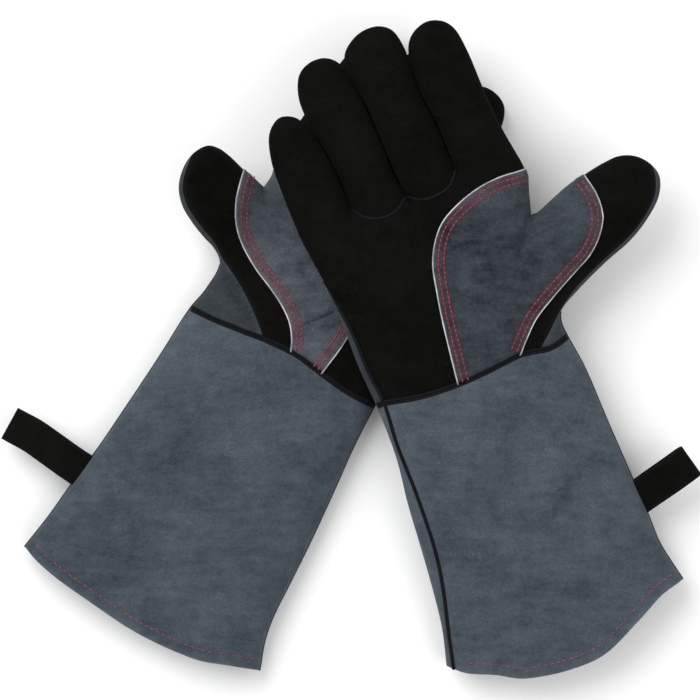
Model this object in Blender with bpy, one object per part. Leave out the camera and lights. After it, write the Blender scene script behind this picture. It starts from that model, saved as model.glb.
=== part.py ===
"""A pair of heat resistant gauntlets lying palm up, the right glove crossed over the left.

Blender 4.5, metres, +Z up. The origin is on the table under the middle of the pair. Both gloves
come from the same functions. A glove is drawn in its own frame: x across the palm, positive on
the thumb side, y from the wrist seam to the fingertips, z out of the palm, with z = 0 in the
plane of the side seams. The left glove has its x mirrored. Every digit and hang loop is drawn
in the frame of its hinge, with y pointing away from the glove.
"""
import math
from collections import namedtuple

import bmesh
import bpy
from mathutils import Matrix, Vector

# Walls, trims and clearances
LEATHER = 0.0018          # palm, back and cuff suede
LINING = 0.0015           # cotton lining
PATCH = 0.0013            # reinforcement suede on the palm and thumb
WELT = 0.0014             # leather strip sewn into a seam
PIPING_RADIUS = 0.0010
THREAD_RADIUS = 0.0004
GAP = 0.0003              # between pieces that touch
SEAM = WELT / 2 + GAP     # half the space between a palm panel's edge and its back panel's

# Cuff
SLEEVE_LENGTH = 0.160     # wrist seam to the corners of the hem
HEM_BOW = 0.029           # how far the middle of the hem hangs beyond its corners
HEM_WIDTH = 0.148
WRIST_WIDTH = 0.118
CUFF_FLARE = 0.8          # 1 for a straight taper, less for a flare that gathers at the hem
CUFF_CORNER = 0.020       # width of the rounded side of the cuff and hand
HALF_HEIGHT = 0.011       # side seam plane to the outside of the palm, cuff and hand
REST = 0.075 * HALF_HEIGHT      # under a trim on a rounded panel, more where the panel is rounder
HEM_TURN = 0.006          # hem edge to its stitch row
LINING_SETBACK = 0.012    # hem edge to the edge of the lining

# Hand
HAND_LENGTH = 0.112       # wrist seam to the finger bases
THUMB_HEEL = (0.0665, 0.0140)   # lower end of the thumb's base
CROTCH = (0.0575, 0.0700)       # upper end of the thumb's base
# How far the hand's side is opened into the thumb, as (opening, share of the way heel to crotch)
THUMB_OPENING = ((0.0, 0.0), (0.75, 0.10), (1.0, 0.24), (1.0, 0.50), (1.0, 0.76), (0.75, 0.90), (0.0, 1.0))
WRIST_WELT_WIDTH = 0.004
TRIM_START = 0.0032       # wrist seam to the ends of the piping and thread on the patch

# Digits: length, half width, half height, and lean in degrees towards the little finger side
Digit = namedtuple("Digit", "name length half height lean")
FINGERS = (
    Digit("index", 0.092, 0.0172, 0.0100, 0.3),
    Digit("middle", 0.101, 0.0162, 0.0100, 1.2),
    Digit("ring", 0.094, 0.0158, 0.0100, 2.2),
    Digit("little", 0.071, 0.0160, 0.0092, 3.2),
)
FINGER_SPACE = 0.0009     # between neighbouring fingers at their bases
KNUCKLE_MARGIN = 0.0018   # outside the index and little fingers at the knuckles
KNUCKLE_WIDTH = (sum(2 * digit.half for digit in FINGERS) + FINGER_SPACE * (len(FINGERS) - 1)
                 + 2 * KNUCKLE_MARGIN)
EXTRA_LEANS = {"right": 0.0, "left": 2.2}   # the left fingers lie pushed aside by the right glove
FINGER_CORNER = 0.011
FINGER_CLEARANCE = 0.0006   # hinge axis to the nearest corner of a finger's leather
FINGER_TIP = 0.016        # length of the rounded tip
THUMB_LENGTH = 0.084
THUMB_HALF_HEIGHT = 0.0105
THUMB_HALF = 0.0225       # half width at its middle
THUMB_SHIFT = 0.0150      # how far the thumb bends towards the index finger
THUMB_TIP = 0.022
# How a thumb lies at rest, in degrees: turned towards the index finger and raised off the palm
ThumbRest = namedtuple("ThumbRest", "turn lift")
THUMB_RESTS = {"right": ThumbRest(0.0, 0.0), "left": ThumbRest(11.0, 46.0)}

# Hang loop: a strap folded into a loop, sewn into the thumb side seam
LOOP_WIDTH = 0.020
LOOP_LEATHER = 0.0018
LOOP_GAP = 0.0066         # inside the loop, at its outer end
LOOP_ROOT_GAP = 0.0008    # inside the loop, at the seam
Loop = namedtuple("Loop", "length place lean")   # its place is below the wrist seam
LOOPS = {"right": Loop(0.027, 0.108, 15.0), "left": Loop(0.051, 0.116, 4.0)}
WELT_STANDS = 0.0018      # how far a side welt stands out of its seam

# How the pair lies: the wrist seam's centre, and the turn about +Z in degrees
PLACES = {"left": (-0.0422, -0.0066, -28.5), "right": (0.0736, -0.0132, 21.0)}
CROSSING = 0.0406         # right wrist seam to where that glove's underside rides on the left one
LIE_GAP = 0.0012          # between the gloves there

ARC = (0.0, 22.5, 45.0, 67.5, 90.0)        # steps round a panel's side, in degrees
FLAT_STEPS = (0.25, 0.5, 0.75)             # steps over the flat between the sides
TIP_STEPS = (28.0, 55.0, 76.0)             # steps round a fingertip, in degrees
PATCH_STEPS = 8                            # steps across a patch

FINISHES = {
    "black_suede": ((0.016, 0.016, 0.015), 0.92),
    "grey_suede": ((0.085, 0.105, 0.130), 0.93),
    "lining": ((0.42, 0.42, 0.40), 0.95),
    "welt": ((0.022, 0.024, 0.027), 0.85),
    "piping": ((0.72, 0.73, 0.72), 0.55),
    "thread": ((0.55, 0.05, 0.07), 0.60),
}

# One line across a panel: its place along y, its two seams, how far its middle is bowed along y,
# how high and how round it is, and how far its right side is opened for the thumb (0 to 1)
Row = namedtuple("Row", "along left right bow height corner opening")


# ---------------------------------------------------------------- scene and object helpers

def clear_scene():
    for thing in list(bpy.data.objects):
        bpy.data.objects.remove(thing, do_unlink=True)


def add_material(thing, finish):
    """Give the object a material of its own with the finish's colour and roughness."""
    colour, roughness = FINISHES[finish]
    made = bpy.data.materials.new(thing.name)
    made.use_nodes = True
    shader = made.node_tree.nodes["Principled BSDF"]
    shader.inputs["Base Color"].default_value = (*colour, 1.0)
    shader.inputs["Roughness"].default_value = roughness
    shader.inputs["Metallic"].default_value = 0.0
    thing.data.materials.append(made)


def add_empty(name, location, rotation, parent=None):
    """An empty that stands for a body's frame or for a hinge."""
    made = bpy.data.objects.new(name, None)
    bpy.context.collection.objects.link(made)
    made.parent = parent
    made.location = location
    made.rotation_euler = rotation
    return made


def add_object(name, data, parent, finish):
    made = bpy.data.objects.new(name, data)
    bpy.context.collection.objects.link(made)
    made.parent = parent
    add_material(made, finish)
    return made


def add_mesh(name, points, faces, side, parent, finish):
    """One closed solid, mirrored across x for the left glove, with its faces turned outwards."""
    mesh = bpy.data.meshes.new(name)
    mesh.from_pydata([(x * side, y, z) for x, y, z in points], [], faces)
    solid = bmesh.new()
    solid.from_mesh(mesh)
    bmesh.ops.recalc_face_normals(solid, faces=solid.faces)
    solid.to_mesh(mesh)
    solid.free()
    mesh.shade_smooth()
    mesh.set_sharp_from_angle(angle=math.radians(35))
    return add_object(name, mesh, parent, finish)


def add_tube(name, route, radius, side, parent, finish):
    """A thread or piping along a smooth curve through the route's points."""
    curve = bpy.data.curves.new(name, "CURVE")
    curve.dimensions = "3D"
    curve.bevel_depth = radius
    curve.bevel_resolution = 1
    curve.use_fill_caps = True
    points = smooth_route(route)
    spline = curve.splines.new("POLY")
    spline.points.add(len(points) - 1)
    for knot, (x, y, z) in zip(spline.points, points):
        knot.co = (x * side, y, z, 1.0)
    return add_object(name, curve, parent, finish)


def smooth_route(route, steps=3):
    """Points on the Catmull-Rom curve through the route, with its end points repeated."""
    knots = [Vector(p) for p in (route[0], *route, route[-1])]
    points = []
    for a, b, c, d in zip(knots, knots[1:], knots[2:], knots[3:]):
        for step in range(steps):
            t = step / steps
            points.append(0.5 * (2 * b + (c - a) * t + (2 * a - 5 * b + 4 * c - d) * t ** 2
                                 + (3 * b - a - 3 * c + d) * t ** 3))
    return points + [knots[-1]]


def shell(outer, inner, tips=None, ring=False):
    """Points and faces of the solid between two grids of points.

    The grids run along the piece, row by row. tips closes the last rows on an outer and an inner
    point, and ring joins the ends of each row.
    """
    rows, across = len(outer), len(outer[0])
    points = [p for row in outer for p in row] + [p for row in inner for p in row]
    inner_start = rows * across
    columns = range(across if ring else across - 1)
    edge_columns = [] if ring else [0, across - 1]

    def at(row, column, start=0):
        return start + row * across + column % across

    faces = []
    for i in range(rows - 1):
        for j in columns:
            for start in (0, inner_start):
                faces.append((at(i, j, start), at(i, j + 1, start),
                              at(i + 1, j + 1, start), at(i + 1, j, start)))
        for j in edge_columns:
            faces.append((at(i, j), at(i + 1, j), at(i + 1, j, inner_start), at(i, j, inner_start)))
    open_rows = [0] if tips else [0, rows - 1]
    for i in open_rows:
        for j in columns:
            faces.append((at(i, j), at(i, j + 1), at(i, j + 1, inner_start), at(i, j, inner_start)))
    if tips:
        outer_tip, inner_tip = len(points), len(points) + 1
        points += list(tips)
        last = rows - 1
        for j in columns:
            faces.append((at(last, j), at(last, j + 1), outer_tip))
            faces.append((at(last, j, inner_start), at(last, j + 1, inner_start), inner_tip))
        for j in edge_columns:
            faces.append((at(last, j), outer_tip, inner_tip, at(last, j, inner_start)))
    return points, faces


# ---------------------------------------------------------------- shapes of the leather

def between(value, low, high):
    return low[0] + (high[0] - low[0]) * (value - low[1]) / (high[1] - low[1])


def side_at(corners, along):
    """Place of a side that runs straight from corner to corner, each (across, along)."""
    for low, high in zip(corners, corners[1:]):
        if along <= high[1]:
            return between(along, low, high)
    return corners[-1][0]


def hand_side(along, thumb_side):
    """Place of the hand's thumb side or little finger side seam."""
    wrist, knuckle = WRIST_WIDTH / 2, KNUCKLE_WIDTH / 2
    if thumb_side:
        above_crotch = (knuckle - 0.003, (CROTCH[1] + HAND_LENGTH) / 2)
        corners = ((wrist, 0.0), THUMB_HEEL, CROTCH, above_crotch, (knuckle, HAND_LENGTH))
        return side_at(corners, along)
    return -side_at(((wrist, 0.0), (wrist + 0.002, 0.35 * HAND_LENGTH), (knuckle, HAND_LENGTH)), along)


def section(row, inset, standing=0.0):
    """Points (across, up) over a panel from seam to seam; inset gives its inner face."""
    left, right = row.left + inset, row.right - inset
    corner, height = row.corner - inset, row.height - inset + standing
    rise = [(corner * (1 - math.cos(math.radians(a))), math.sin(math.radians(a))) for a in ARC]
    line = [(left + x, height * up) for x, up in rise]
    flat_left, flat_right = left + corner, right - corner
    line += [(flat_left + (flat_right - flat_left) * step, height) for step in FLAT_STEPS]
    line += [(right - x, height * (up + (1 - up) * row.opening)) for x, up in reversed(rise)]
    return line


def panel_grid(rows, inset, up, seam=SEAM):
    """Grid of a panel's outer face, or of its inner one; up is 1 for the palm, -1 for the back."""
    grid = []
    for row in rows:
        middle, half = (row.left + row.right) / 2, (row.right - row.left) / 2
        grid.append([(x, row.along + row.bow * (1 - ((x - middle) / half) ** 2), up * (seam + z))
                     for x, z in section(row, inset)])
    return grid


def cuff_half(below_wrist):
    """Half width of the cuff at that distance below the wrist seam; it flares towards its hem."""
    share = max(1 - below_wrist / SLEEVE_LENGTH, 0.0) ** CUFF_FLARE
    return HEM_WIDTH / 2 + (WRIST_WIDTH - HEM_WIDTH) / 2 * share


def cuff_rows(start=0.0):
    """Rows of the cuff from its hem, or from that far inside it, up to the wrist seam."""
    rows = []
    for share in (0.0, 0.2, 0.45, 0.72, 1.0):
        along = -(SLEEVE_LENGTH - start) * (1 - share) - GAP
        half = cuff_half(-along)
        bow = -HEM_BOW * (1 - share) ** 2
        rows.append(Row(along, -half, half, bow, HALF_HEIGHT, CUFF_CORNER, 0.0))
    return rows


def hand_rows(start=GAP, end=GAP):
    """Rows of the hand from the wrist seam to the finger bases, opened where the thumb joins."""
    low, high = THUMB_HEEL[1], CROTCH[1]
    places = [start] + [low + (high - low) * share for opening, share in THUMB_OPENING]
    places += [(high + HAND_LENGTH) / 2, HAND_LENGTH - end]
    return [hand_row_at(along) for along in places]


def hand_row_at(along):
    """The hand's row at any place between the wrist seam and the finger bases."""
    share = (along - THUMB_HEEL[1]) / (CROTCH[1] - THUMB_HEEL[1])
    opening = side_at(THUMB_OPENING, share) if 0 < share < 1 else 0.0
    return Row(along, hand_side(along, False), hand_side(along, True), 0.0,
               HALF_HEIGHT, CUFF_CORNER, opening)


def digit_grid(rows, tip, inset, up):
    """Grid of one face of a digit's half, and the point that closes its tip."""
    last = rows[-1]
    centre = (last.left + last.right) / 2
    grid = panel_grid(rows, inset, up, GAP / 2)
    for angle in TIP_STEPS:
        shrink, reach = math.cos(math.radians(angle)), math.sin(math.radians(angle))
        half = ((last.right - last.left) / 2 - inset) * shrink
        row = Row(last.along + (tip - inset) * reach, centre - half, centre + half, 0.0,
                  (last.height - inset) * shrink, (last.corner - inset) * shrink, 0.0)
        grid += panel_grid([row], 0.0, up, GAP / 2)
    return grid, (centre, last.along + tip - inset, up * GAP / 2)


def panel_height(row, across):
    """Height of a palm panel's outer face above its seams' plane, at a place across it."""
    over_left = row.left + row.corner - across
    over_right = across - row.right + row.corner
    over = min(max(over_left, over_right, 0.0) / row.corner, 1.0)
    up = math.sqrt(1 - over ** 2)
    opening = row.opening if over_right > 0 else 0.0
    return row.height * (up + (1 - up) * opening)


# ---------------------------------------------------------------- the pieces of a glove

def build_panel_pair(side, names, rows, parent, finishes, inset=0.0, wall=LEATHER):
    """The palm half and the back half of a stretch of the glove."""
    for name, up, finish in zip(names, (1, -1), finishes):
        outer = panel_grid(rows, inset, up)
        inner = panel_grid(rows, inset + wall, up)
        add_mesh(name, *shell(outer, inner), side, parent, finish)


def build_cuff(hand, side, parent):
    build_panel_pair(side, (f"{hand}_cuff_palm_panel", f"{hand}_cuff_back_panel"), cuff_rows(),
                     parent, ("grey_suede", "grey_suede"))
    build_cuff_lining(hand, side, parent)
    build_side_welt(f"{hand}_thumb_side_welt", 1, side, parent)
    build_side_welt(f"{hand}_little_side_welt", -1, side, parent)
    build_hem_thread(hand, side, parent)


def build_cuff_lining(hand, side, parent):
    """A tube of lining inside the cuff, set back from the hem."""
    grids = []
    for inset in (LEATHER + GAP, LEATHER + GAP + LINING):
        grid = []
        for row in cuff_rows(LINING_SETBACK):
            across = section(row, inset, SEAM)
            middle, half = (row.left + row.right) / 2, (row.right - row.left) / 2
            loop = [(x, z) for x, z in across] + [(x, -z) for x, z in reversed(across[1:-1])]
            grid.append([(x, row.along + row.bow * (1 - ((x - middle) / half) ** 2), z)
                         for x, z in loop])
        grids.append(grid)
    add_mesh(f"{hand}_cuff_lining", *shell(*grids, ring=True), side, parent, "lining")


def build_side_welt(name, edge, side, parent):
    """A strip sewn between the two cuff panels, standing out of the side seam."""
    inside, outside = LEATHER - GAP, WELT_STANDS
    grids = []
    for z in (WELT / 2, -WELT / 2):
        grid = []
        for row in cuff_rows():
            place = row.right if edge > 0 else row.left
            grid.append([(place - edge * inside, row.along, z), (place + edge * outside, row.along, z)])
        grids.append(grid)
    add_mesh(name, *shell(*grids), side, parent, "welt")


def build_hem_thread(hand, side, parent):
    """The stitch row along the hem, on the flat of the palm side."""
    hem = cuff_rows()[0]
    half = (hem.right - hem.left) / 2
    height = SEAM + HALF_HEIGHT + GAP + THREAD_RADIUS
    reach = half - CUFF_CORNER
    route = []
    for share in (-1.0, -0.6, -0.2, 0.2, 0.6, 1.0):
        across = reach * share
        along = hem.along + hem.bow * (1 - (across / half) ** 2) + HEM_TURN
        route.append((across, along, height))
    add_tube(f"{hand}_hem_thread", route, THREAD_RADIUS, side, parent, "thread")


def build_hand(hand, side, parent):
    build_panel_pair(side, (f"{hand}_palm_panel", f"{hand}_hand_back_panel"), hand_rows(),
                     parent, ("black_suede", "grey_suede"))
    build_panel_pair(side, (f"{hand}_palm_lining", f"{hand}_back_lining"),
                     hand_rows(WRIST_WELT_WIDTH, WRIST_WELT_WIDTH), parent, ("lining", "lining"),
                     LEATHER + GAP, LINING)
    build_wrist_welt(hand, side, parent)
    build_finger_base_welt(hand, side, parent)


def build_wrist_welt(hand, side, parent):
    """A strip over the wrist seam, from side to side across the palm."""
    wrist = cuff_rows()[-1]
    grids = []
    for lift in (GAP, GAP + WELT):
        grid = []
        for along in (-GAP - WRIST_WELT_WIDTH, -GAP):
            line = section(wrist, -lift)[1:-1]
            grid.append([(x, along, SEAM + z) for x, z in line])
        grids.append(grid)
    add_mesh(f"{hand}_wrist_welt", *shell(*grids), side, parent, "welt")


def build_finger_base_welt(hand, side, parent):
    """The piping in the seam that sets the ring and middle fingers into the palm."""
    index, _, _, little = FINGERS
    start = KNUCKLE_MARGIN + 2 * little.half + FINGER_SPACE - KNUCKLE_WIDTH / 2
    end = KNUCKLE_WIDTH / 2 - KNUCKLE_MARGIN - 2 * index.half - FINGER_SPACE
    height = SEAM + HALF_HEIGHT + GAP + PIPING_RADIUS
    setbacks = ((0.0, 0.0025), (0.12, 0.0070), (0.30, 0.0085), (0.50, 0.0055), (0.70, 0.0080),
                (0.88, 0.0060), (1.0, 0.0020))
    route = [(start + (end - start) * share, HAND_LENGTH - setback, height)
             for share, setback in setbacks]
    add_tube(f"{hand}_finger_base_welt", route, PIPING_RADIUS, side, parent, "welt")


def patch_edge():
    """The palm edge of the crotch patch, from the wrist seam up to the index finger."""
    start = (-0.21 * KNUCKLE_WIDTH / 2, TRIM_START)
    shares = ((-0.165, 0.17), (-0.12, 0.36), (-0.075, 0.55), (0.015, 0.70),
              (0.20, 0.82), (0.45, 0.885), (0.70, 0.905))
    return [start] + [(x * KNUCKLE_WIDTH / 2, y * HAND_LENGTH) for x, y in shares]


def heel_edge():
    """The heel edge of the crotch patch, from the wrist seam out to the thumb's base."""
    start = (0.44 * KNUCKLE_WIDTH / 2, TRIM_START)
    shares = ((0.52, 0.07), (0.65, 0.14), (0.83, 0.215))
    return [start] + [(x * KNUCKLE_WIDTH / 2, y * HAND_LENGTH) for x, y in shares]


def build_patch(name, places, sides_of, seam, side, parent):
    """A patch lying on a palm panel: places are (along, left, right), sides_of gives a Row."""
    grids = []
    for lift in (REST, REST + PATCH):
        grid = []
        for along, left, right in places:
            row = sides_of(along)
            steps = [left + (right - left) * step / PATCH_STEPS for step in range(PATCH_STEPS + 1)]
            grid.append([(x, along, seam + panel_height(row, x) + lift) for x in steps])
        grids.append(grid)
    add_mesh(name, *shell(*grids), side, parent, "grey_suede")


def build_crotch_patch(hand, side, parent):
    """The part of the grey reinforcement that lies on the palm, with its edge piping."""
    edge, heel = patch_edge(), heel_edge()
    places = []
    for share in (0.012, 0.07, 0.14, 0.215, 0.36, 0.50, 0.61, 0.70, 0.82, 0.885):
        along = share * HAND_LENGTH
        rounded = 1 - hand_row_at(along).opening
        reach = hand_side(along, True) - REST - 0.4 * CUFF_CORNER * rounded
        right = min(side_at(heel, along), reach) if along <= heel[-1][1] else reach
        places.append((along, side_at(edge, along), right))
    build_patch(f"{hand}_crotch_patch", places, hand_row_at, SEAM, side, parent)

    piping = SEAM + HALF_HEIGHT + REST + PIPING_RADIUS
    thread = SEAM + HALF_HEIGHT + REST + PATCH + GAP + THREAD_RADIUS
    aside = PIPING_RADIUS + 2 * GAP
    inward = 0.0035
    flat_end = KNUCKLE_WIDTH / 2 - CUFF_CORNER
    on_flat = [(x, y) for x, y in edge if x < flat_end]
    add_tube(f"{hand}_palm_piping", [(x, y, piping) for x, y in offset_line(on_flat, aside)],
             PIPING_RADIUS, side, parent, "piping")
    add_tube(f"{hand}_palm_thread", [(x, y, thread) for x, y in offset_line(on_flat, -inward)],
             THREAD_RADIUS, side, parent, "thread")
    on_heel = [(x, y) for x, y in heel if x < flat_end]
    add_tube(f"{hand}_heel_piping", [(x, y, piping) for x, y in offset_line(on_heel, -aside)],
             PIPING_RADIUS, side, parent, "piping")


def offset_line(points, distance):
    """A line beside another one, on its left when the distance is positive."""
    line = []
    for i, (x, y) in enumerate(points):
        x0, y0 = points[max(i - 1, 0)]
        x1, y1 = points[min(i + 1, len(points) - 1)]
        length = math.hypot(x1 - x0, y1 - y0)
        line.append((x - (y1 - y0) / length * distance, y + (x1 - x0) / length * distance))
    return line


def build_finger(hand, digit, centre, side, frame):
    """A finger's front and back halves, on a hinge at the palm side of its base."""
    axis_height = GAP / 2 + digit.height
    lean = math.radians(digit.lean + EXTRA_LEANS[hand])
    hinge = add_empty(f"{hand}_{digit.name}_hinge", (centre * side, HAND_LENGTH, axis_height),
                      (0, 0, lean * side), frame)
    setback = digit.half * math.sin(lean) + FINGER_CLEARANCE
    rows = [Row(setback, -digit.half, digit.half, 0.0, digit.height, FINGER_CORNER, 0.0)]
    straight = digit.length - FINGER_TIP
    for share, width in ((0.5, 0.99), (1.0, 0.95)):
        half = digit.half * width
        rows.append(Row(straight * share, -half, half, 0.0, digit.height, FINGER_CORNER, 0.0))
    build_digit_halves(f"{hand}_{digit.name}_finger", rows, FINGER_TIP, axis_height, side, hinge,
                       ("black_suede", "black_suede"))


def build_digit_halves(name, rows, tip, axis_height, side, hinge, finishes):
    for half, up, finish in zip(("front", "back"), (1, -1), finishes):
        outer, outer_tip = digit_grid(rows, tip, 0.0, up)
        inner, inner_tip = digit_grid(rows, tip, LEATHER, up)
        points, faces = shell(outer, inner, (outer_tip, inner_tip))
        points = [(x, y, z - axis_height) for x, y, z in points]
        add_mesh(f"{name}_{half}", points, faces, side, hinge, finish)


def thumb_row_at(along):
    """The thumb's row at a place along it: wide at its base, bending towards the index finger."""
    base = (Vector(CROTCH) - Vector(THUMB_HEEL)).length / 2
    stations = ((0.0, base, 0.0), (0.33, THUMB_HALF + 0.002, 0.62), (0.55, THUMB_HALF, 0.80),
                (1.0, THUMB_HALF - 0.0025, 1.0))
    straight = THUMB_LENGTH - THUMB_TIP
    share = min(along / straight, 1.0)
    for low, high in zip(stations, stations[1:]):
        if share <= high[0]:
            part = (share - low[0]) / (high[0] - low[0])
            half = low[1] + (high[1] - low[1]) * part
            centre = THUMB_SHIFT * (low[2] + (high[2] - low[2]) * part)
            break
    return Row(along, centre - half, centre + half, 0.0, THUMB_HALF_HEIGHT, FINGER_CORNER, 0.0)


def thumb_patch_edge():
    """The outer edge of the reinforcement on the thumb, in the thumb hinge's frame."""
    shares = ((-0.50, 0.025), (-0.43, 0.12), (-0.27, 0.27), (-0.04, 0.38), (0.42, 0.485), (0.85, 0.525))
    return [(x * THUMB_HALF * 1.1, y * THUMB_LENGTH) for x, y in shares]


def build_thumb(hand, side, frame):
    """The thumb's front and back, with its share of the grey reinforcement, on its hinge."""
    base = Vector(CROTCH) - Vector(THUMB_HEEL)
    outward = Vector((base.y, -base.x)).normalized()
    rest = THUMB_RESTS[hand]
    aside = GAP + base.length / 2 * math.sin(math.radians(rest.turn))
    place = (Vector(CROTCH) + Vector(THUMB_HEEL)) / 2 + outward * aside
    axis_height = GAP / 2 + THUMB_HALF_HEIGHT
    turn = math.atan2(outward.y, outward.x) - math.pi / 2 + math.radians(rest.turn)
    hinge = add_empty(f"{hand}_thumb_hinge", (place.x * side, place.y, axis_height),
                      (math.radians(rest.lift), 0, turn * side), frame)
    straight = THUMB_LENGTH - THUMB_TIP
    # The hinge frame's x runs from the crotch to the heel, so the thumb is drawn mirrored
    rows = [thumb_row_at(share * straight) for share in (0.01, 0.33, 0.55, 1.0)]
    build_digit_halves(f"{hand}_thumb", rows, THUMB_TIP, axis_height, -side, hinge,
                       ("black_suede", "grey_suede"))
    edge = thumb_patch_edge()
    places = []
    for share in (0.025, 0.12, 0.27, 0.38, 0.46):
        along = share * THUMB_LENGTH
        right = thumb_row_at(along).right - 0.35 * FINGER_CORNER
        places.append((along, side_at(edge, along), right))
    build_patch(f"{hand}_thumb_patch", places, thumb_row_at, -THUMB_HALF_HEIGHT, -side, hinge)
    on_flat = edge[:-1]
    piping = [(x, y, REST + PIPING_RADIUS) for x, y in offset_line(on_flat, PIPING_RADIUS + 2 * GAP)]
    add_tube(f"{hand}_thumb_piping", piping, PIPING_RADIUS, -side, hinge, "piping")
    thread = [(x, y, REST + PATCH + GAP + THREAD_RADIUS) for x, y in offset_line(on_flat, -0.0035)]
    add_tube(f"{hand}_thumb_thread", thread, THREAD_RADIUS, -side, hinge, "thread")


def loop_profile(length):
    """Outer and inner side of the folded strap, as (out, up) from its root round its fold."""
    root = LOOP_ROOT_GAP / 2
    bulge = LOOP_GAP / 2
    sides = []
    for wall in (LOOP_LEATHER, 0.0):
        tall = bulge + wall
        fold = length - bulge - LOOP_LEATHER
        line = [(0.0, -root - wall), (0.5 * length, -tall)]
        line += [(fold + tall * math.cos(math.radians(a)), tall * math.sin(math.radians(a)))
                 for a in (-90, -54, -18, 18, 54, 90)]
        line += [(0.5 * length, tall), (0.0, root + wall)]
        sides.append(line)
    return sides


def build_hang_loop(hand, side, frame):
    """The folded strap, on a hinge at the side seam."""
    loop = LOOPS[hand]
    lean = math.radians(loop.lean)
    flare = (HEM_WIDTH - WRIST_WIDTH) / 2 / SLEEVE_LENGTH
    clear = WELT_STANDS + 2 * GAP + LOOP_WIDTH / 2 * (math.sin(lean) + 2 * flare)
    axis_height = LOOP_ROOT_GAP / 2 + LOOP_LEATHER
    across = (cuff_half(loop.place) + clear) * side
    hinge = add_empty(f"{hand}_loop_hinge", (across, -loop.place, axis_height),
                      (0, 0, (lean - math.pi / 2) * side), frame)
    outer, inner = loop_profile(loop.length)
    grids = [[[(x, out, up - axis_height) for out, up in line] for x in (-LOOP_WIDTH / 2, LOOP_WIDTH / 2)]
             for line in (outer, inner)]
    add_mesh(f"{hand}_hang_loop", *shell(*grids), side, hinge, "black_suede")


def build_glove(hand):
    """One glove with all its pieces, in the frame that places it on the table."""
    side = 1 if hand == "right" else -1
    x, y, turn = PLACES[hand]
    thickness = SEAM + HALF_HEIGHT
    sleeve = SLEEVE_LENGTH + HEM_BOW
    tilt = math.asin((2 * thickness + LIE_GAP) / (sleeve + CROSSING)) if hand == "right" else 0.0
    height = sleeve * math.sin(tilt) + thickness * math.cos(tilt)
    frame = add_empty(f"{hand}_glove_frame", (x, y, height), (tilt, 0, math.radians(turn)))
    build_cuff(hand, side, frame)
    build_hand(hand, side, frame)
    build_crotch_patch(hand, side, frame)
    centre = KNUCKLE_WIDTH / 2 - KNUCKLE_MARGIN + FINGER_SPACE
    for digit in FINGERS:
        centre -= FINGER_SPACE + digit.half
        build_finger(hand, digit, centre, side, frame)
        centre -= digit.half
    build_thumb(hand, side, frame)
    build_hang_loop(hand, side, frame)


def main():
    clear_scene()
    for hand in ("left", "right"):
        build_glove(hand)


main()
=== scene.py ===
"""The looks of a pair of leather gauntlets, one across the other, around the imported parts.

A glove is drawn in its own plane, in millimetres: u runs to the thumb's side and v to the
fingertips. Its outlines and seams are smooth curves through a few points. Two height fields,
palm and back, rise from the outline, and each leather panel is the part of one field that lies
between its own seams, made into a shell of real thickness. Meshes are in metres.
"""

import math

import bpy
import numpy as np
from mathutils import Matrix, Vector, noise
from mathutils.geometry import delaunay_2d_cdt


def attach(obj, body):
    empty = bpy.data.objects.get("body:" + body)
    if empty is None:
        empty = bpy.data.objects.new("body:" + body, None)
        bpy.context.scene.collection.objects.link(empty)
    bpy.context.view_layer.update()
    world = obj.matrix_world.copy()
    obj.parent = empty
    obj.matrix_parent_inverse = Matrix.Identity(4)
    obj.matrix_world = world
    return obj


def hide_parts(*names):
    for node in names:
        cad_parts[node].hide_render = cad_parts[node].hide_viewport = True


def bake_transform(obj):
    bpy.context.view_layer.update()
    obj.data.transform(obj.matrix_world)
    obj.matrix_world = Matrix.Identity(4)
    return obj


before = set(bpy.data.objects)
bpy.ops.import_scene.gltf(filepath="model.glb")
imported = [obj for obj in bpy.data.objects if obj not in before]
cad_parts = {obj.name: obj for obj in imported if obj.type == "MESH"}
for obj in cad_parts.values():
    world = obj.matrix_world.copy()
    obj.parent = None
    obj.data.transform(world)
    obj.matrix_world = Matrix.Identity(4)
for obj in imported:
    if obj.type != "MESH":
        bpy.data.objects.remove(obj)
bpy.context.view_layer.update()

# the two faces of a glove
PALM, BACK = 1, -1
# thicknesses of the layers, and the gap between a leather and its lining
LEATHER = 1.7
LINING = 1.2
PATCH = 1.35
LOOSE = 0.3
LINING_SIDES = dict(outer=-LEATHER - LOOSE, inner=-LEATHER - LOOSE - LINING)
# between the ground and the undersides
CLEAR = 0.1
# the turned hem: its reach and added thickness, its stitch row, and where the lining starts
HEM_REACH = 7
HEM_ADDED = 1.5
HEM_ROW = 6.4
LINING_START = 12
# distances of the patch's stitch rows from its edges
PALM_ROWS = (3.0, 6.3)
THUMB_ROWS = (2.9, 6.2)
# radii of the cords in the seams and of the piping
SIDE_CORD = 0.9
SEAM_CORD = 1.15
WRIST_CORD = 0.95
BASE_CORD = 0.85
PIPING_CORD = 0.46
# distances of the rows of mesh points that follow a rounded edge
RINGS = (0.35, 1.3, 2.8, 4.9)
# unevenness of the leather: wave length, height, added height on the cuff, seed
RIPPLES = ((43, 0.55, 0.75, 0), (15, 0.22, 0.25, 5), (6, 0.12, 0, 9))
# how far each kind of relief fades out before the glove's edge
CROWN_FADE, RIPPLE_FADE, GROOVE_FADE, FOLD_FADE, MOUND_FADE = 45, 14, 3, 6, 12
# points worked on at once
CHUNK = 4000
# two places along the fingers, v in mm, passed to settle
FINGER_BEND = (115.5, 132)


# ---- curves in a glove's plane


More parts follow.
